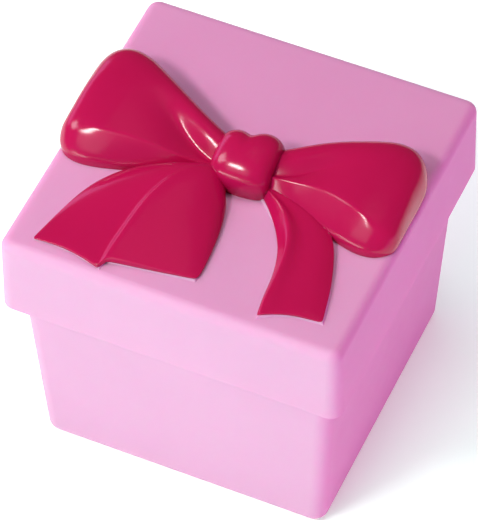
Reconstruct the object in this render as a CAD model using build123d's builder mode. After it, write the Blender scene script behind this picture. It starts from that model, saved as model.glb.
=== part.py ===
from build123d import *
import os
from math import radians, sqrt, tan

# A moulded plastic gift box. A square tub tapers down to its foot, and a lid with a deep skirt lifts off
# it. On the lid sits a moulded bow of two loops, a knot and two tails, each with pegs that pass through
# the lid's plate and are held under it by push-on nuts.
# Millimetres. The origin is the middle of the foot, +Z is up, and the bow's tails point to -Y, the front.

# ---- Driving dimensions: box ----
box_height = 87.0  # foot to the flat top of the closed lid
lid_side = 101.0  # across the lid's mouth
lid_height = 26.5  # lid top to the skirt's lower edge
lid_draft = 1.0  # degrees, the skirt narrows upwards
lid_wall = 2.0  # skirt thickness
lid_plate = 2.4  # thickness of the lid's top
lid_corner_radius = 4.0
lid_edge_radius = 3.0
lid_lip_radius = 0.6
lid_inner_radius = 0.5
lid_clearance = 0.6  # each side, between the tub's rim and the skirt

tub_floor_side = 86.0  # across the tub at its foot
tub_wall = 2.0
tub_floor = 2.4
tub_corner_radius = 4.2
tub_foot_radius = 3.2
tub_inner_radius = 2.0
rim_radius = 0.5
foot_ring_width = 6.0  # what is left standing round the recessed underside
foot_recess = 0.8

# ---- Driving dimensions: bow ----
bow_margin = 1.4  # from the lid's top edge to the end of a loop
bow_middle = (0.6, 0.0)  # the bow's middle from the lid's middle
bow_drawn_half = 48.7  # half the bow's span as its outlines are drawn below
loop_wall = 1.8
tail_wall = 1.6
knot_width = 17.6
knot_depth = 17.2
knot_height = 12.2
knot_corner_radius = 7.0
knot_top_radius = 5.2
knot_wall = 1.8
knot_notch_depth = 1.1  # of the dent between the two folds at the knot's back
seat_height = 0.6  # the raised seats that the tails lie on
seat_rim = 0.4  # how far a seat's foot shows round its tail
seat_slope = 0.35  # how far the seat's edge leans in
seat_slope_height = 0.5  # and over how much of its height
seat_root = 0.4  # how far a seat reaches down into the lid's plate
bow_clearance = 0.15  # between one bow piece and the next
past_bow = 20.0  # a length that reaches past any piece of the bow

# ---- Driving dimensions: pegs and push-on nuts ----
peg_radius = 1.5
peg_stand = 2.2  # how far a peg comes out under the lid's plate
peg_tip = 0.4  # chamfer at a peg's tip
post_radius = 2.8  # the post that carries a peg inside a loop or the knot
peg_hole_clearance = 0.15
nut_radius = 4.2
nut_ring = 1.5  # width of the nut's flat outer ring
nut_thickness = 0.5
nut_dish = 0.9  # how far the nut's fingers lean away from the lid
nut_grip_clearance = 0.02
nut_slits = 6
nut_slit_width = 0.6

# ---- Worked out from the driving dimensions ----
skirt_edge_z = box_height - lid_height
plate_under_z = box_height - lid_plate
lid_lean = tan(radians(lid_draft))
lid_top_side = lid_side - 2 * lid_height * lid_lean
lid_inside_top = lid_side - 2 * (lid_height - lid_plate) * lid_lean - 2 * lid_wall
tub_mouth_side = lid_inside_top - 2 * lid_clearance
tub_height = plate_under_z
bow_scale = (lid_top_side / 2 - bow_margin) / bow_drawn_half
seat_z = box_height + seat_height
middle_x, middle_y = bow_middle


def on_lid(x, y):
    """A point of the bow's drawing, placed on the lid."""
    return (middle_x + x * bow_scale, middle_y + y * bow_scale)


# ---- The loops' outline ----
# Upright sections from the knot outwards: distance out, front foot, back foot, height, and how far the
# crease along the front leans back from the foot.
loop_stations = (
    (3.5, -4.6, 5.4, 5.6, 1.2),
    (11.0, -6.4, 7.0, 7.2, 1.9),
    (21.0, -8.6, 11.8, 8.8, 3.4),
    (31.0, -12.2, 17.0, 10.2, 5.2),
    (39.0, -15.0, 20.8, 10.8, 6.2),
    (44.5, -14.4, 20.2, 10.2, 6.0),
    (47.6, -10.8, 16.4, 8.2, 4.6),
    (48.7, -6.0, 11.0, 5.2, 2.6),
)
crease_rise = 0.86  # the crease's height as a share of the section's
shoulder_rise = 0.80  # the back shoulder's height, likewise
shoulder_in = 0.45  # the shoulder's distance in from the back foot, as a share of the height
loop_peg_stations = (2, 4)  # the sections over which a loop's pegs stand


def loop_section(side, station, grow=0.0):
    """One upright section of a loop, made larger all round by grow, or smaller where it is negative."""
    out, front, back, height, lean = station
    x, front_foot = on_lid(side * out, front)
    back_foot = on_lid(0, back)[1] + grow
    front_foot -= grow
    top = height + grow
    crease = (front_foot + lean * bow_scale, crease_rise * top)
    crown = ((front_foot + back_foot) / 2, top)
    shoulder = (back_foot - shoulder_in * top, shoulder_rise * top)
    section_plane = Plane(origin=(x, 0, box_height), x_dir=(0, 1, 0), z_dir=(1, 0, 0))
    with BuildSketch(section_plane) as section:
        with BuildLine():
            Line((front_foot, 0), crease)
            Spline(crease, crown, shoulder, (back_foot, 0))
            Line((back_foot, 0), (front_foot, 0))
        make_face()
    return section.sketch


def loop_peg(side, index):
    """The peg and post under a loop's crown, at one of its sections."""
    out, front, back, height, _ = loop_stations[index]
    return peg_on_post(*on_lid(side * out, (front + back) / 2), height - loop_wall / 2, box_height)


def loop_shell(side, name):
    """One hollow loop, open below, with two posts that carry its pegs."""
    outside = [loop_section(side, station) for station in loop_stations]
    inside = [loop_section(side, station, -loop_wall) for station in loop_stations[:-2]]
    pegs = [loop_peg(side, index) for index in loop_peg_stations]
    with BuildPart() as loop:
        loft(outside)
        loft(inside, mode=Mode.SUBTRACT)
        add(pegs)
    loop.part.label = name
    return loop.part


def loop_space(side):
    """The space that a loop fills, with the bow's clearance round it."""
    outside = [loop_section(side, station, bow_clearance) for station in loop_stations]
    with BuildPart() as space:
        loft(outside)
    return space.part


# ---- The tails' outlines ----
# Pairs of points across each tail, from the knot to the end: left edge, right edge and the arch's height.
left_tail_stations = (
    ((-8.0, -5.6), (-4.2, -6.6), 5.0),
    ((-14.0, -6.6), (-1.0, -10.8), 5.6),
    ((-24.0, -9.4), (1.2, -15.6), 5.8),
    ((-32.4, -15.8), (2.8, -22.6), 5.0),
    ((-37.4, -25.6), (3.6, -29.8), 3.8),
    ((-39.8, -36.0), (3.8, -36.6), 2.4),
    ((-42.4, -48.5), (3.2, -47.0), 1.2),
)
left_tail_end = ((-46.0, -45.0), (-37.0, -44.3), (-29.8, -44.8), (-21.4, -47.0), (-20.9, -44.0), (9.0, -39.9))
right_tail_stations = (
    ((8.2, -7.0), (9.8, -4.8), 3.2),
    ((13.2, -11.6), (18.4, -6.4), 3.4),
    ((17.8, -16.8), (27.2, -10.6), 3.0),
    ((20.8, -22.4), (33.2, -17.8), 2.4),
    ((22.8, -29.0), (37.2, -26.8), 1.9),
    ((23.6, -36.0), (39.6, -35.0), 1.5),
    ((24.4, -47.0), (41.6, -45.5), 1.2),
)
right_tail_end = ((20.0, -49.0), (24.9, -45.2), (28.4, -42.8), (32.6, -41.3), (44.0, -40.2))
tail_edge = 0.9  # a tail's thickness along its edges
core_edge = 0.2  # the same for the hollow under it
# Each tail peg's place, and the section whose arch its post stays under.
left_tail_pegs = (((-24.0, -25.0), 4), ((-8.0, -33.0), 5))
right_tail_pegs = (((25.0, -18.0), 5), ((33.0, -36.0), 5))


def tail_section(station, grow=0.0, edge=tail_edge):
    """One upright section across a tail: low edges and an arched top."""
    left, right, height = station
    start, end = Vector(*on_lid(*left), seat_z), Vector(*on_lid(*right), seat_z)
    across = (end - start).normalized()
    half = (end - start).length / 2 + grow
    crown = max(height + grow, edge + core_edge)
    section_plane = Plane(origin=(start + end) / 2, x_dir=across, z_dir=across.cross(Vector(0, 0, 1)))
    with BuildSketch(section_plane) as section:
        with BuildLine():
            Line((-half, 0), (-half, edge))
            ThreePointArc((-half, edge), (0, crown), (half, edge))
            Polyline((half, edge), (half, 0), (-half, 0))
        make_face()
    return section.sketch


def past_end(end_line, foot_z):
    """What lies past a tail's cut end, as a block that stands on foot_z."""
    cut = [on_lid(*point) for point in end_line]
    far = min(y for _, y in cut) - past_bow
    with BuildPart() as block:
        with BuildSketch(Plane.XY.offset(foot_z)):
            with BuildLine():
                Polyline(*cut, (cut[-1][0], far), (cut[0][0], far), close=True)
            make_face()
        extrude(amount=past_bow)
    return block.part


def tail_peg(stations, place, index):
    """The peg and post under a tail's arch, near one of its sections."""
    return peg_on_post(*on_lid(*place), stations[index][2] - tail_wall / 2, seat_z)


def tail_shell(stations, end_line, pegs, space, name):
    """One tail: an arched ribbon, cored from below where it is thick, cut at its end and seated on pegs."""
    outside = [tail_section(station) for station in stations]
    thick = [station for station in stations[:-1] if station[2] > 2 * tail_wall]
    inside = [tail_section(station, -tail_wall, core_edge) for station in thick]
    beyond = past_end(end_line, seat_z)
    posts = [tail_peg(stations, place, index) for place, index in pegs]
    with BuildPart() as tail:
        loft(outside)
        if len(inside) > 2:
            loft(inside, mode=Mode.SUBTRACT)
        add(posts)
        add(beyond, mode=Mode.SUBTRACT)
        add(space, mode=Mode.SUBTRACT)
    tail.part.label = name
    return tail.part


def tail_space(stations, end_line):
    """The space that a tail fills, with the bow's clearance round it."""
    outside = [tail_section(station, bow_clearance) for station in stations]
    beyond = past_end(end_line, seat_z)
    with BuildPart() as space:
        loft(outside)
        add(beyond, mode=Mode.SUBTRACT)
    return space.part


# ---- Pegs and nuts ----
def peg_on_post(x, y, height, foot_z):
    """A post that stands on foot_z under a shell's roof, and a peg from it down through the lid."""
    tip_z = plate_under_z - peg_stand
    with BuildPart() as peg:
        with BuildSketch(Plane.XY.offset(foot_z)):
            with Locations((x, y)):
                Circle(post_radius)
        extrude(amount=height)
        with BuildSketch(Plane.XY.offset(foot_z)):
            with Locations((x, y)):
                Circle(peg_radius)
        extrude(amount=tip_z - foot_z)
        chamfer(peg.edges().group_by(Axis.Z)[0], peg_tip)
    return peg.part


def push_nut(x, y, name):
    """A dished spring-steel nut, slit into fingers that bite the peg."""
    grip = peg_radius + nut_grip_clearance
    bend = nut_radius - nut_ring
    with BuildPart() as nut:
        with BuildSketch(Plane.XZ):
            with BuildLine():
                Polyline(
                    (grip, -nut_dish),
                    (bend, 0),
                    (nut_radius, 0),
                    (nut_radius, -nut_thickness),
                    (bend, -nut_thickness),
                    (grip, -nut_dish - nut_thickness),
                    close=True,
                )
            make_face()
        revolve(axis=Axis.Z)
        with BuildSketch(Plane.XY):
            with PolarLocations((grip + bend) / 2, nut_slits):
                Rectangle(bend - grip + nut_slit_width, nut_slit_width)
        extrude(amount=-nut_dish - 2 * nut_thickness, mode=Mode.SUBTRACT)
    placed = Pos(x, y, plate_under_z) * nut.part
    placed.label = name
    return placed


# ---- Tub ----
tub_widening = (tub_mouth_side - tub_floor_side) / tub_height
tub_inside_floor = tub_floor_side + tub_widening * tub_floor - 2 * tub_wall
tub_inside_mouth = tub_mouth_side - 2 * tub_wall
tub_inside_radius = tub_corner_radius - tub_wall
foot_recess_side = tub_floor_side - 2 * foot_ring_width
with BuildPart() as tub_hollow:
    with BuildSketch(Plane.XY.offset(tub_floor)):
        RectangleRounded(tub_inside_floor, tub_inside_floor, tub_inside_radius)
    with BuildSketch(Plane.XY.offset(tub_height)):
        RectangleRounded(tub_inside_mouth, tub_inside_mouth, tub_inside_radius)
    loft()
    fillet(tub_hollow.faces().sort_by(Axis.Z)[0].edges(), tub_inner_radius)
with BuildPart() as tub:
    with BuildSketch(Plane.XY):
        RectangleRounded(tub_floor_side, tub_floor_side, tub_corner_radius)
    with BuildSketch(Plane.XY.offset(tub_height)):
        RectangleRounded(tub_mouth_side, tub_mouth_side, tub_corner_radius)
    loft()
    fillet(tub.faces().sort_by(Axis.Z)[0].edges(), tub_foot_radius)
    fillet(tub.faces().sort_by(Axis.Z)[-1].edges(), rim_radius)
    add(tub_hollow.part, mode=Mode.SUBTRACT)
    with BuildSketch(Plane.XY):
        RectangleRounded(foot_recess_side, foot_recess_side, tub_corner_radius)
    extrude(amount=foot_recess, mode=Mode.SUBTRACT)
tub.part.label = "tub"

# ---- Bow ----
left_space, right_space = loop_space(-1), loop_space(1)
left_loop, right_loop = loop_shell(-1, "left_loop"), loop_shell(1, "right_loop")
left_tail = tail_shell(left_tail_stations, left_tail_end, left_tail_pegs, left_space, "left_tail")
right_tail = tail_shell(right_tail_stations, right_tail_end, right_tail_pegs, right_space, "right_tail")


def knot_block(grow=0.0):
    """The knot's outside, or the space round it where grow is positive, or its hollow where negative."""
    corner = knot_corner_radius + grow
    with BuildPart() as block:
        with BuildSketch(Plane.XY.offset(box_height)):
            with Locations(bow_middle):
                RectangleRounded(knot_width + 2 * grow, knot_depth + 2 * grow, corner)
        extrude(amount=knot_height + grow)
        fillet(block.faces().sort_by(Axis.Z)[-1].edges(), knot_top_radius + grow)
    return block.part


knot_outside, knot_inside, knot_space = knot_block(), knot_block(-knot_wall), knot_block(bow_clearance)
knot_post = peg_on_post(middle_x, middle_y, knot_height - knot_wall / 2, box_height)
knot_notch_radius = knot_top_radius * (sqrt(2) - 1) + knot_notch_depth
knot_openings = [
    left_space,
    right_space,
    tail_space(left_tail_stations, left_tail_end),
    tail_space(right_tail_stations, right_tail_end),
]
with BuildPart() as knot:
    add(knot_outside)
    with Locations((middle_x, middle_y + knot_depth / 2, box_height + knot_height)):
        Sphere(knot_notch_radius, mode=Mode.SUBTRACT)
    add(knot_inside, mode=Mode.SUBTRACT)
    add(knot_openings, mode=Mode.SUBTRACT)
    add(knot_post)
knot.part.label = "knot"

# ---- Where the pegs go through the lid ----
peg_places = {"knot": [bow_middle]}
for side, name in ((-1, "left_loop"), (1, "right_loop")):
    stations = [loop_stations[index] for index in loop_peg_stations]
    peg_places[name] = [on_lid(side * out, (front + back) / 2) for out, front, back, _, _ in stations]
for pegs, name in ((left_tail_pegs, "left_tail"), (right_tail_pegs, "right_tail")):
    peg_places[name] = [on_lid(*place) for place, _ in pegs]
all_pegs = [place for places in peg_places.values() for place in places]


# ---- Lid ----
def widened(stations, grow):
    """Both edges of a tail as seen from above, moved outwards by grow."""
    left_edge, right_edge = [], []
    for left, right, _ in stations:
        start, end = Vector(*on_lid(*left)), Vector(*on_lid(*right))
        across = (end - start).normalized() * grow
        left_edge.append(start - across)
        right_edge.append(end + across)
    return left_edge, right_edge


def tail_seat(stations, end_line, others):
    """A low raised seat with sloping sides for one tail, kept clear of the other bow pieces."""
    left_edge, right_edge = widened(stations, seat_rim)
    cut = [on_lid(*point) for point in end_line]
    cut = [(x, y - seat_rim) for x, y in cut]
    far = min(y for _, y in cut) - past_bow
    with BuildPart() as seat:
        with BuildSketch(Plane.XY.offset(box_height - seat_root)):
            with BuildLine():
                Spline(*left_edge)
                Line(left_edge[-1], right_edge[-1])
                Spline(*reversed(right_edge))
                Line(right_edge[0], left_edge[0])
            make_face()
            with BuildLine():
                Polyline(*cut, (cut[-1][0], far), (cut[0][0], far), close=True)
            make_face(mode=Mode.SUBTRACT)
        extrude(amount=seat_root + seat_height)
        chamfer(seat.faces().sort_by(Axis.Z)[-1].edges(), length=seat_slope_height, length2=seat_slope)
        add(others, mode=Mode.SUBTRACT)
    return seat.part


seats = [
    tail_seat(left_tail_stations, left_tail_end, [left_space, knot_space]),
    tail_seat(right_tail_stations, right_tail_end, [right_space, knot_space]),
]
lid_inside_mouth = lid_side - 2 * lid_wall
with BuildPart() as lid_hollow:
    with BuildSketch(Plane.XY.offset(skirt_edge_z)):
        RectangleRounded(lid_inside_mouth, lid_inside_mouth, lid_corner_radius - lid_wall)
    extrude(amount=lid_height - lid_plate, taper=lid_draft)
    fillet(lid_hollow.faces().sort_by(Axis.Z)[-1].edges(), lid_inner_radius)
with BuildPart() as lid:
    with BuildSketch(Plane.XY.offset(skirt_edge_z)):
        RectangleRounded(lid_side, lid_side, lid_corner_radius)
    extrude(amount=lid_height, taper=lid_draft)
    fillet(lid.faces().sort_by(Axis.Z)[-1].edges(), lid_edge_radius)
    fillet(lid.faces().sort_by(Axis.Z)[0].edges(), lid_lip_radius)
    add(lid_hollow.part, mode=Mode.SUBTRACT)
    for seat in seats:
        add(seat)
    with BuildSketch(Plane.XY.offset(plate_under_z)):
        with Locations(all_pegs):
            Circle(peg_radius + peg_hole_clearance)
    extrude(amount=lid_plate + seat_height, mode=Mode.SUBTRACT)
lid.part.label = "lid"

# ---- Push-on nuts, one to a peg ----
nuts = []
for name, places in peg_places.items():
    for number, place in enumerate(places, start=1):
        label = f"{name}_nut" if len(places) == 1 else f"{name}_nut_{number}"
        nuts.append(push_nut(*place, label))

# ---- Files ----
os.makedirs("parts", exist_ok=True)
pieces = [tub.part, lid.part, left_loop, right_loop, knot.part, left_tail, right_tail, *nuts]
for piece in pieces:
    export_step(piece, f"parts/{piece.label}.step")
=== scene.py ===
from math import cos, pi, radians, sin

import bmesh
import bpy
from mathutils import Matrix, Vector


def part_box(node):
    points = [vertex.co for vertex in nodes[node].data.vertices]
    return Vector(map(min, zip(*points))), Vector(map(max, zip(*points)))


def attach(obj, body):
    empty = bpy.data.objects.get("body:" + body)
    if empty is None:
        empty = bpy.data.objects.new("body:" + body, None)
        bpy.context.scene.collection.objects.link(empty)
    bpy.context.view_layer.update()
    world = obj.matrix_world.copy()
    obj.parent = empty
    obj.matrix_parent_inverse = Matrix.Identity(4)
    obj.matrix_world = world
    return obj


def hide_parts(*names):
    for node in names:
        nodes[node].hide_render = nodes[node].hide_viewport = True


# A moulded plastic gift box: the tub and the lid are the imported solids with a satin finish, and the bow's
# two loops, its knot and its two tails are modelled here, each in the place of its own solid.
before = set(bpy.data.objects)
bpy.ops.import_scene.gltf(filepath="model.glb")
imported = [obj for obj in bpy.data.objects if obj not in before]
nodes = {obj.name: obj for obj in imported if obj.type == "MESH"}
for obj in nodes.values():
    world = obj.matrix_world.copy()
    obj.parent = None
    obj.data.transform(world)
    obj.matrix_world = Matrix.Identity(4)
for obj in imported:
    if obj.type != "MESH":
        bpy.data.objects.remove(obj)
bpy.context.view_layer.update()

MM = 0.001
SMOOTHING = 3  # subdivision levels of every bow piece
FULL_CREASE = 1.0

# ---- Places, from the frame ----
SEAT_HEIGHT = 0.6 * MM  # the raised seats under the tails
DRAWN_HALF = 48.7  # millimetres from the bow's middle to a loop's end, as drawn below
lid_low, lid_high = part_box("lid")
knot_low, knot_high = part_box("knot")
lid_top = lid_high.z - SEAT_HEIGHT
bow_middle = (knot_low + knot_high) / 2
bow_scale = (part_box("right_loop")[1].x - bow_middle.x) / DRAWN_HALF


def place(x, y, z=0.0):
    """A point of the bow's drawing, in millimetres from its middle, placed on the lid."""
    return Vector((bow_middle.x + x * bow_scale, bow_middle.y + y * bow_scale, lid_top + z * MM))


# ---- Mesh helpers ----
def as_piece(name, bm, finish, stands_for, body="lid"):
    """Makes an object of a mesh, smooths it, and puts it in the place of a solid of the frame."""
    bmesh.ops.recalc_face_normals(bm, faces=bm.faces)
    for face in bm.faces:
        face.smooth = True
    mesh = bpy.data.meshes.new(name)
    bm.to_mesh(mesh)
    bm.free()
    mesh.materials.append(finish)
    piece = bpy.data.objects.new(name, mesh)
    bpy.context.scene.collection.objects.link(piece)
    smooth = piece.modifiers.new("smooth", "SUBSURF")
    smooth.levels = SMOOTHING
    smooth.render_levels = SMOOTHING
    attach(piece, body)
    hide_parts(*stands_for)


def next_rim(rim, moved):
    """The new vertices of an extruded rim, in the order of the old ones."""
    fresh = set(moved)
    return [next(e.other_vert(v) for e in v.link_edges if e.other_vert(v) in fresh) for v in rim]


def rim_edges(bm, rim):
    """The edges of a closed rim of vertices."""
    return [bm.edges.get(pair) for pair in zip(rim, rim[1:] + rim[:1])]


def skin(sections, folds=()):
    """A closed skin: the first section's rim is extruded from one section to the next, and both ends are
    filled. folds are (place in the section, first section, last section, sharpness)."""
    bm = bmesh.new()
    crease = bm.edges.layers.float.new("crease_edge")
    rim = [bm.verts.new(point) for point in sections[0]]
    for pair in zip(rim, rim[1:] + rim[:1]):
        bm.edges.new(pair)
    rims = [rim]
    for section in sections[1:]:
        made = bmesh.ops.extrude_edge_only(bm, edges=rim_edges(bm, rim))["geom"]
        rim = next_rim(rim, [item for item in made if isinstance(item, bmesh.types.BMVert)])
        for vert, point in zip(rim, section):
            vert.co = point
        rims.append(rim)
    bmesh.ops.holes_fill(bm, edges=bm.edges)
    for index, first, last, sharpness in folds:
        for number in range(first, last):
            edge = bm.edges.get((rims[number][index], rims[number + 1][index]))
            edge[crease] = sharpness
    return bm


# ---- Materials ----
class Value:
    """A socket of a material that takes part in sums as a number does."""

    def __init__(self, finish, socket):
        self.finish, self.socket = finish, socket

    def sum(self, operation, first, second):
        return self.finish.node("Math", {"operation": operation}, {0: first, 1: second})[0]

    def __add__(self, other):
        return self.sum("ADD", self, other)

    def __mul__(self, other):
        return self.sum("MULTIPLY", self, other)

    __radd__, __rmul__ = __add__, __mul__


class Finish:
    """A material of one glossy or satin shader, and the nodes that vary it."""

    def __init__(self, name, **settings):
        self.material = bpy.data.materials.new(name)
        self.material.use_nodes = True
        self.tree = self.material.node_tree
        self.shader = self.tree.nodes["Principled BSDF"]
        for socket, value in settings.items():
            self.shader.inputs[socket.replace("_", " ")].default_value = value
        self.place = self.node("TexCoord")["Object"]

    def node(self, kind, settings=None, inputs=None):
        """A node of a kind, with its settings and then its inputs; returns its outputs."""
        made = self.tree.nodes.new("ShaderNode" + kind)
        for setting, value in (settings or {}).items():
            setattr(made, setting, value)
        for socket, value in (inputs or {}).items():
            if isinstance(value, Value):
                self.tree.links.new(value.socket, made.inputs[socket])
            else:
                made.inputs[socket].default_value = value
        return Outputs(self, made)

    def noise(self, scale, detail=2.0):
        """Soft clouds of 0 to 1, finer with a larger scale."""
        inputs = {"Vector": self.place, "Scale": scale, "Detail": detail}
        return self.node("TexNoise", inputs=inputs)["Fac"]

    def mix(self, share, first, second):
        """A colour between two, by share."""
        inputs = {0: share, 6: first, 7: second}
        return self.node("Mix", {"data_type": "RGBA"}, inputs)[2]

    def feed(self, socket, value):
        """Lets a value vary one of the shader's sockets."""
        self.tree.links.new(value.socket, self.shader.inputs[socket])

    def relief(self, height, distance):
        """Height, of 0 to 1, as bumps that are distance deep."""
        bump = self.node("Bump", inputs={"Height": height, "Distance": distance})
        self.feed("Normal", bump["Normal"])


class Outputs:
    """A node's outputs, by name or number."""

    def __init__(self, finish, made):
        self.finish, self.made = finish, made

    def __getitem__(self, key):
        return Value(self.finish, self.made.outputs[key])


def satin_box_plastic():
    """Light pink plastic with a soft sheen: cloudy colour, fine grain, and light that sinks in."""
    finish = Finish(
        "satin_box_plastic",
        Subsurface_Weight=0.35,
        Subsurface_Radius=(1.0, 0.35, 0.6),
        Subsurface_Scale=0.006,
        Specular_IOR_Level=0.12,
    )
    cloud = finish.noise(28.0, 3.0)
    finish.feed("Base Color", finish.mix(cloud, (0.65, 0.228, 0.422, 1.0), (0.69, 0.252, 0.450, 1.0)))
    finish.feed("Roughness", finish.noise(160.0, 4.0) * 0.10 + 0.36)
    grain = finish.noise(900.0, 3.0) * 0.6 + finish.noise(120.0, 2.0) * 0.4
    finish.relief(grain, 0.03 * MM)
    return finish.material


def glossy_bow_plastic():
    """Deep pink plastic with a high gloss, slightly uneven as moulded pieces are."""
    finish = Finish(
        "glossy_bow_plastic",
        Subsurface_Weight=0.12,
        Subsurface_Radius=(1.0, 0.15, 0.35),
        Subsurface_Scale=0.003,
        Specular_IOR_Level=0.38,
    )
    cloud = finish.noise(45.0, 3.0)
    finish.feed("Base Color", finish.mix(cloud, (0.41, 0.002, 0.050, 1.0), (0.45, 0.004, 0.058, 1.0)))
    finish.feed("Roughness", finish.noise(220.0, 3.0) * 0.08 + 0.13)
    finish.relief(finish.noise(140.0, 2.0), 0.06 * MM)
    return finish.material


def spring_steel():
    """Bright spring steel with fine rolling lines."""
    finish = Finish("spring_steel", Metallic=1.0)
    lines = finish.node("TexWave", inputs={"Vector": finish.place, "Scale": 900.0, "Distortion": 1.5})["Fac"]
    finish.feed("Base Color", finish.mix(lines, (0.50, 0.51, 0.53, 1.0), (0.62, 0.63, 0.65, 1.0)))
    finish.feed("Roughness", finish.noise(400.0) * 0.15 + 0.25)
    return finish.material


box_plastic = satin_box_plastic()
bow_plastic = glossy_bow_plastic()
nut_steel = spring_steel()


def refinish(node, material):
    """Gives a solid of the frame its finish."""
    mesh = nodes[node].data
    mesh.materials.clear()
    mesh.materials.append(material)


for name in nodes:
    if "nut" in name:
        refinish(name, nut_steel)
refinish("tub", box_plastic)
refinish("lid", box_plastic)

# ---- The loops ----
# Upright sections from the knot outwards. Each gives how far out it is, then the places from front to
# back of the foot, the fold along the front, the valley behind it and the back, then the heights of the
# fold, the valley and the roll at the back, and how far the section bulges outwards at half its height.
SINK = -0.3  # the bow's foot, a little inside the lid's top
LEFT_LOOP = (
    (3.5, -5.0, -4.4, -3.8, 5.2, 3.4, 3.0, 6.8, 0.0),
    (8.0, -6.0, -5.2, -3.4, 6.6, 4.2, 3.4, 8.8, 0.0),
    (13.0, -7.4, -6.0, -1.8, 8.8, 5.2, 4.2, 9.8, 0.0),
    (19.0, -9.0, -6.6, 1.4, 12.0, 6.4, 6.0, 10.4, 0.0),
    (25.0, -11.0, -6.9, 4.8, 15.4, 7.6, 8.8, 10.8, 0.0),
    (31.0, -13.0, -7.4, 7.0, 18.8, 8.8, 10.8, 11.4, 0.0),
    (37.0, -14.8, -8.4, 8.0, 22.2, 9.4, 11.8, 12.2, 0.0),
    (43.0, -15.8, -9.6, 8.0, 23.6, 9.4, 11.9, 12.2, 0.2),
    (47.6, -14.6, -9.4, 6.4, 21.6, 8.6, 11.2, 11.0, 0.6),
    (49.9, -11.6, -7.8, 3.6, 16.4, 6.4, 8.8, 8.4, 1.3),
    (50.3, -8.0, -5.6, 2.2, 11.2, 2.8, 3.8, 3.6, 1.3),
)
RIGHT_LOOP = (
    (3.5, -4.6, -2.8, -1.8, 5.0, 5.0, 4.8, 6.6, 0.0),
    (8.0, -5.4, -3.6, -2.8, 6.8, 5.8, 5.2, 8.0, 0.0),
    (12.5, -6.8, -4.0, -2.6, 9.4, 6.7, 5.9, 9.2, 0.0),
    (18.5, -8.4, -3.6, 0.4, 13.0, 7.4, 7.0, 10.4, 0.0),
    (24.0, -10.2, -3.6, 4.4, 15.6, 8.4, 8.8, 10.8, 0.0),
    (30.5, -12.4, -5.1, 6.6, 18.2, 9.2, 10.6, 11.2, 0.0),
    (36.5, -14.4, -7.4, 6.8, 20.8, 9.6, 11.2, 11.6, 0.0),
    (42.0, -15.0, -9.6, 6.0, 21.4, 8.8, 11.0, 11.2, 0.1),
    (46.2, -13.4, -9.6, 4.6, 18.8, 7.2, 9.8, 9.6, 0.3),
    (48.4, -10.4, -7.8, 2.6, 13.6, 5.2, 7.2, 7.0, 0.6),
    (48.9, -7.4, -5.6, 1.6, 9.8, 2.2, 3.0, 2.8, 0.6),
)
FOLD, VALLEY = 4, 6  # where the front fold and the valley are in a section
FOLD_SHARPNESS = 0.50
SOFT_END = 3  # the front fold fades out this many sections before the loop's end
VALLEY_REACH = 4  # the valley is creased over this many sections from the knot


def loop_section(side, station):
    """The points of one upright section of a loop, from its front foot over the top to its back foot."""
    out, front, fold, valley, back, fold_z, valley_z, roll_z, bulge = station
    roll = back - valley
    wall = fold - front
    foot = SINK - bulge
    points = (
        (front, foot),
        (front - 0.2, 0.18 * fold_z),
        (front + 0.08 * wall, 0.37 * fold_z),
        (front + 0.55 * wall, 0.70 * fold_z),
        (fold, fold_z),
        ((fold + valley) / 2, (fold_z + valley_z) / 2 + 0.25),
        (valley, valley_z),
        (valley + 0.22 * roll, 0.55 * roll_z + 0.45 * valley_z),
        (valley + 0.52 * roll, roll_z),
        (back - 0.14 * roll, 0.90 * roll_z),
        (back, 0.50 * roll_z),
        (back + 0.1, foot),
    )
    middle = 0.5 * roll_z
    return [place(side * (out + bulge * (1 - abs(z - middle) / (middle - foot))), y, z) for y, z in points]


def bow_loop(name, side, stations, valley_sharpness):
    """A loop of the bow: side is -1 for the left and 1 for the right."""
    sections = [loop_section(side, station) for station in stations]
    last = len(sections) - 1
    folds = [
        (0, 0, last, FULL_CREASE),
        (len(sections[0]) - 1, 0, last, FULL_CREASE),
        (FOLD, 1, last - SOFT_END, FOLD_SHARPNESS),
        (VALLEY, 0, VALLEY_REACH, valley_sharpness),
    ]
    as_piece(name + "_fold", skin(sections, folds), bow_plastic, [name])


bow_loop("left_loop", -1, LEFT_LOOP, 0.15)
bow_loop("right_loop", 1, RIGHT_LOOP, 0.5)

# ---- The knot ----
# Upright sections from left to right: how far right, the front, the back, the top, and how deep the notch
# between its two lobes is there, at the back.
KNOT = (
    (-7.2, -5.0, 3.2, 4.6, 0.0),
    (-7.8, -7.0, 4.8, 7.8, 0.0),
    (-7.0, -8.4, 6.0, 10.0, 0.0),
    (-4.8, -9.2, 6.9, 11.6, 0.0),
    (-1.8, -9.6, 7.2, 12.3, 0.3),
    (0.4, -9.7, 6.9, 12.4, 2.0),
    (2.6, -9.7, 8.1, 12.8, 0.3),
    (6.2, -9.4, 8.6, 12.5, 0.0),
    (8.9, -8.4, 7.6, 11.1, 0.0),
    (10.2, -6.8, 6.0, 8.4, 0.0),
    (9.7, -5.0, 4.2, 5.0, 0.0),
)


def knot_section(station):
    """The points of one upright section of the knot, from its front foot over the top to its back foot."""
    out, front, back, top, notch = station
    depth = back - front
    points = (
        (front + 0.8, SINK),
        (front + 0.1, 0.22 * top),
        (front, 0.44 * top),
        (front + 0.04 * depth, 0.62 * top),
        (front + 0.16 * depth, 0.80 * top),
        (front + 0.34 * depth, 0.92 * top),
        (front + 0.56 * depth, 0.99 * top),
        (front + 0.77 * depth, 0.99 * top - 0.4 * notch),
        (back - 0.07 * depth, 0.85 * top - notch),
        (back - 0.5 * notch, 0.60 * top - 0.6 * notch),
        (back, 0.28 * top),
        (back - 0.6, SINK),
    )
    return [place(out, y, z) for y, z in points]


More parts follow.
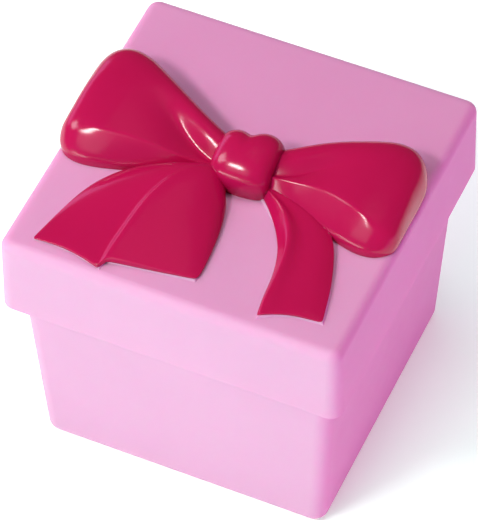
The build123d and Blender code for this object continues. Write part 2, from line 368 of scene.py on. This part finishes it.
def bow_knot():
    sections = [knot_section(station) for station in KNOT]
    last = len(sections) - 1
    folds = [(0, 0, last, FULL_CREASE), (len(sections[0]) - 1, 0, last, FULL_CREASE)]
    as_piece("knot_band", skin(sections, folds), bow_plastic, ["knot"])


bow_knot()


# ---- The tails ----
RIBBON_EDGE = 0.55  # sharpness of a ribbon's upper edge


def ribbon(rows, foot, edge_sharpness, folds=()):
    """A thick ribbon: a grid draped over rows of points, and pushed down to its foot. folds are (place in
    the rows, sharpness) of lines along the ribbon."""
    across, along = len(rows[0]), len(rows)
    bm = bmesh.new()
    crease = bm.edges.layers.float.new("crease_edge")
    bmesh.ops.create_grid(bm, x_segments=across - 1, y_segments=along - 1, size=1.0)
    spots = sorted(bm.verts, key=lambda v: (round(v.co.y, 4), round(v.co.x, 4)))
    for vert, point in zip(spots, [point for row in rows for point in row]):
        vert.co = point
    for index, sharpness in folds:
        line = spots[index::across]
        for pair in zip(line[:-2], line[1:-1]):
            bm.edges.get(pair)[crease] = sharpness
    made = bmesh.ops.extrude_face_region(bm, geom=bm.faces[:], use_keep_orig=True)["geom"]
    low = {item for item in made if isinstance(item, bmesh.types.BMVert)}
    for vert in low:
        vert.co.z = foot
    for edge in bm.edges:
        beside = {len(low.intersection(face.verts)) for face in edge.link_faces}
        if beside == {2, 4}:
            edge[crease] = FULL_CREASE
        elif beside == {0, 2}:
            edge[crease] = edge_sharpness
    return bm


LEFT_ACROSS = (0.0, 0.03, 0.10, 0.20, 0.32, 0.425, 0.46, 0.57, 0.69, 0.81, 0.91, 0.97, 1.0)
PLEAT = 6  # the first point of the ply that lies on top
PLEAT_FOLDS = [(PLEAT - 1, 0.45), (PLEAT, 0.35)]
ARCH_FULLNESS = 0.72  # below 1, the arch is flatter on top and steeper at the edges
# From the knot to the end: left edge, right edge, height of the edges, height of the arch, and the step
# up to the upper ply.
LEFT_TAIL = (
    ((-6.0, -3.6), (-3.0, -5.0), 2.2, 5.4, 0.0),
    ((-12.0, -5.4), (-1.4, -9.6), 1.9, 7.4, 0.0),
    ((-19.2, -7.2), (0.7, -13.0), 1.6, 8.2, 0.0),
    ((-26.7, -10.6), (2.1, -17.6), 1.4, 8.0, 0.3),
    ((-32.8, -16.4), (3.2, -22.8), 1.2, 7.0, 0.8),
    ((-36.6, -23.2), (3.8, -27.8), 1.1, 5.8, 1.2),
    ((-38.8, -30.4), (4.2, -32.4), 1.0, 4.4, 1.5),
    ((-40.4, -37.2), (4.4, -36.0), 1.0, 3.1, 1.6),
    ((-41.6, -42.8), (4.4, -38.8), 1.0, 2.2, 1.5),
)
LEFT_END = (
    (-42.3, -45.3),
    (-41.0, -45.1),
    (-37.5, -44.8),
    (-32.4, -44.9),
    (-27.0, -45.9),
    (-21.9, -47.6),
    (-20.5, -44.4),
    (-15.6, -43.6),
    (-10.0, -42.8),
    (-4.6, -41.9),
    (-0.3, -41.2),
    (2.7, -40.7),
    (4.0, -40.3),
)


def left_tail_row(station):
    """The points across the left tail at one station."""
    left, right, edge_z, arch_z, step = station
    row = []
    for index, share in enumerate(LEFT_ACROSS):
        x = left[0] + share * (right[0] - left[0])
        y = left[1] + share * (right[1] - left[1])
        z = edge_z + (arch_z - edge_z) * sin(pi * share) ** ARCH_FULLNESS
        if index >= PLEAT:
            z += step * (1.0 - share) / (1.0 - LEFT_ACROSS[PLEAT])
        row.append(place(x, y, z))
    return row


def left_tail_end():
    """The points along the left tail's cut end, flatter than the last row."""
    _, _, edge_z, arch_z, step = LEFT_TAIL[-1]
    row = []
    for index, (share, (x, y)) in enumerate(zip(LEFT_ACROSS, LEFT_END)):
        z = edge_z + 0.35 * (arch_z - edge_z) * sin(pi * share)
        if index >= PLEAT:
            z += 0.9 * step * (1.0 - share) / (1.0 - LEFT_ACROSS[PLEAT])
        row.append(place(x, y, z))
    return row


def left_tail():
    rows = [left_tail_row(station) for station in LEFT_TAIL] + [left_tail_end()]
    bm = ribbon(rows[::-1], lid_top + SEAT_HEIGHT, RIBBON_EDGE, PLEAT_FOLDS)
    as_piece("left_tail_ribbon", bm, bow_plastic, ["left_tail"])


# From the knot to the end: outer edge of the curl, right edge, how far across the curl's ridge is, and
# the heights of the outer edge, the ridge, the hollow behind it, the middle and the right edge.
RIGHT_TAIL = (
    ((7.0, -5.4), (9.4, -4.2), 0.34, 1.8, 3.6, 3.2, 3.4, 3.0),
    ((10.9, -9.2), (16.2, -5.8), 0.34, 0.9, 4.2, 3.4, 3.8, 3.0),
    ((13.8, -12.5), (22.3, -7.0), 0.32, 0.8, 4.4, 3.1, 3.6, 2.6),
    ((16.8, -16.5), (28.3, -9.4), 0.27, 0.8, 4.3, 2.7, 3.2, 2.0),
    ((19.5, -21.2), (32.6, -13.6), 0.21, 0.8, 4.0, 2.4, 2.8, 1.6),
    ((21.5, -27.0), (35.6, -20.4), 0.13, 0.8, 3.4, 2.0, 2.5, 1.3),
    ((22.5, -33.2), (38.2, -28.4), 0.08, 0.8, 2.6, 1.7, 2.2, 1.1),
    ((22.8, -38.8), (39.6, -34.8), 0.05, 0.8, 1.9, 1.5, 1.9, 1.0),
    ((23.5, -43.0), (40.4, -38.6), 0.04, 0.8, 1.5, 1.3, 1.6, 0.9),
)
RIGHT_END = (
    (23.8, -45.3),
    (24.3, -45.0),
    (24.8, -44.7),
    (27.6, -43.2),
    (31.6, -41.7),
    (35.6, -41.1),
    (39.0, -40.8),
    (40.8, -40.6),
)


def right_tail_row(station):
    """The points across the right tail at one station, with its curled outer edge first."""
    left, right, ridge, left_z, ridge_z, hollow_z, middle_z, right_z = station
    rest = 1.0 - ridge
    profile = (
        (0.0, left_z),
        (0.55 * ridge, 0.45 * left_z + 0.55 * ridge_z),
        (ridge, ridge_z),
        (ridge + 0.20 * rest, hollow_z),
        (ridge + 0.45 * rest, 0.5 * (hollow_z + middle_z)),
        (ridge + 0.72 * rest, middle_z),
        (ridge + 0.92 * rest, 0.45 * middle_z + 0.55 * right_z),
        (1.0, right_z),
    )
    return [
        place(left[0] + share * (right[0] - left[0]), left[1] + share * (right[1] - left[1]), z)
        for share, z in profile
    ]


def right_tail():
    _, _, _, left_z, ridge_z, hollow_z, middle_z, right_z = RIGHT_TAIL[-1]
    heights = (left_z, left_z, ridge_z, hollow_z, hollow_z, middle_z, right_z, right_z)
    end = [place(x, y, 0.9 * z) for (x, y), z in zip(RIGHT_END, heights)]
    rows = [right_tail_row(station) for station in RIGHT_TAIL] + [end]
    bm = ribbon(rows[::-1], lid_top + SEAT_HEIGHT, RIBBON_EDGE)
    as_piece("right_tail_ribbon", bm, bow_plastic, ["right_tail"])


left_tail()
right_tail()

# ---- Stage, light and camera ----
WHITE = (1.0, 1.0, 1.0)
FLOOR_HALF = 3.0
FLOOR_GLOW = 0.26  # lifts the shadow that the box casts
WORLD_GLOW = 0.10


def pale_floor():
    """A plain square floor that glows slightly."""
    finish = Finish(
        "pale_floor",
        Roughness=0.9,
        Emission_Color=(0.97, 1.0, 0.98, 1.0),
        Emission_Strength=FLOOR_GLOW,
    )
    finish.feed("Base Color", finish.mix(finish.noise(3.0), (0.92, 0.85, 0.88, 1.0), (0.94, 0.87, 0.90, 1.0)))
    bm = bmesh.new()
    bmesh.ops.create_grid(bm, x_segments=1, y_segments=1, size=FLOOR_HALF)
    mesh = bpy.data.meshes.new("floor")
    bm.to_mesh(mesh)
    bm.free()
    mesh.materials.append(finish.material)
    floor = bpy.data.objects.new("floor", mesh)
    bpy.context.scene.collection.objects.link(floor)
    return floor


pale_floor()


def from_direction(azimuth, elevation):
    """A unit vector from the box towards a place: azimuth 0 is the front, and 90 the right."""
    a, e = radians(azimuth), radians(elevation)
    return Vector((sin(a) * cos(e), -cos(a) * cos(e), sin(e)))


def softbox(name, azimuth, elevation, distance, width, height, power, color=WHITE, in_gloss=True):
    """A rectangular lamp that faces the box. One that isn't in_gloss has no reflection."""
    lamp = bpy.data.lights.new(name, "AREA")
    lamp.shape = "RECTANGLE"
    lamp.size, lamp.size_y = width, height
    lamp.energy = power
    lamp.color = color
    holder = bpy.data.objects.new(name, lamp)
    direction = from_direction(azimuth, elevation)
    holder.location = Vector((0, 0, lid_top)) + direction * distance
    holder.rotation_mode = "QUATERNION"
    holder.rotation_quaternion = (-direction).to_track_quat("-Z", "Y")
    holder.visible_glossy = in_gloss
    bpy.context.scene.collection.objects.link(holder)


# Name, azimuth, elevation, distance, width, height and power. Where a colour follows, the lamp is tinted:
# the green front_low makes the front paler, and the magenta right_low makes the right side more violet.
softbox("key_softbox", -30, 48, 0.9, 0.28, 0.12, 4.8, (0.92, 1.0, 0.96))
softbox("front_panel", -18, 40, 1.0, 0.55, 0.45, 0.9)
softbox("front_low", -12, 9, 0.9, 0.8, 0.2, 6.9, (0.04, 1.0, 0.48), in_gloss=False)
softbox("front_strip", -25, 5, 0.9, 0.5, 0.08, 1.3)
softbox("top_panel", 165, 82, 2.2, 1.2, 1.0, 26.0, (0.75, 1.0, 0.92), in_gloss=False)
softbox("left_fill", -75, 38, 1.2, 0.5, 0.4, 4.6, (0.88, 0.95, 1.0))
softbox("left_strip", -110, 14, 1.0, 0.8, 0.35, 1.8, (0.85, 0.45, 1.0))
softbox("right_low", 75, 1, 1.2, 0.8, 0.12, 5.6, (1.0, 0.0, 1.0), in_gloss=False)

world = bpy.data.worlds.new("studio")
world.use_nodes = True
world.node_tree.nodes["Background"].inputs["Color"].default_value = (1.0, 1.0, 1.0, 1.0)
world.node_tree.nodes["Background"].inputs["Strength"].default_value = WORLD_GLOW
bpy.context.scene.world = world
bpy.context.scene.view_settings.view_transform = "Standard"

# Seen from the front right and from above, with a long lens.
CAMERA_AZIMUTH = 24.56
CAMERA_ELEVATION = 50.33
CAMERA_ROLL = -0.686
CAMERA_DISTANCE = 1.171
CAMERA_LENS = 290.1
CAMERA_SHIFT = (-0.0076, -0.0144)
CAMERA_SENSOR = 36.0
CAMERA_NEAR = 0.01
AIM_BELOW_LID = 0.035  # the camera looks at a point this far below the lid's top

camera_data = bpy.data.cameras.new("camera")
camera_data.lens = CAMERA_LENS
camera_data.sensor_width = CAMERA_SENSOR
camera_data.shift_x, camera_data.shift_y = CAMERA_SHIFT
camera_data.clip_start = CAMERA_NEAR
camera = bpy.data.objects.new("camera", camera_data)
bpy.context.scene.collection.objects.link(camera)
back = from_direction(CAMERA_AZIMUTH, CAMERA_ELEVATION)
camera.rotation_mode = "QUATERNION"
camera.rotation_quaternion = (
    (-back).to_track_quat("-Z", "Y") @ Matrix.Rotation(radians(CAMERA_ROLL), 3, "Z").to_quaternion()
)
camera.location = Vector((0, 0, lid_top - AIM_BELOW_LID)) + back * CAMERA_DISTANCE
bpy.context.scene.camera = camera
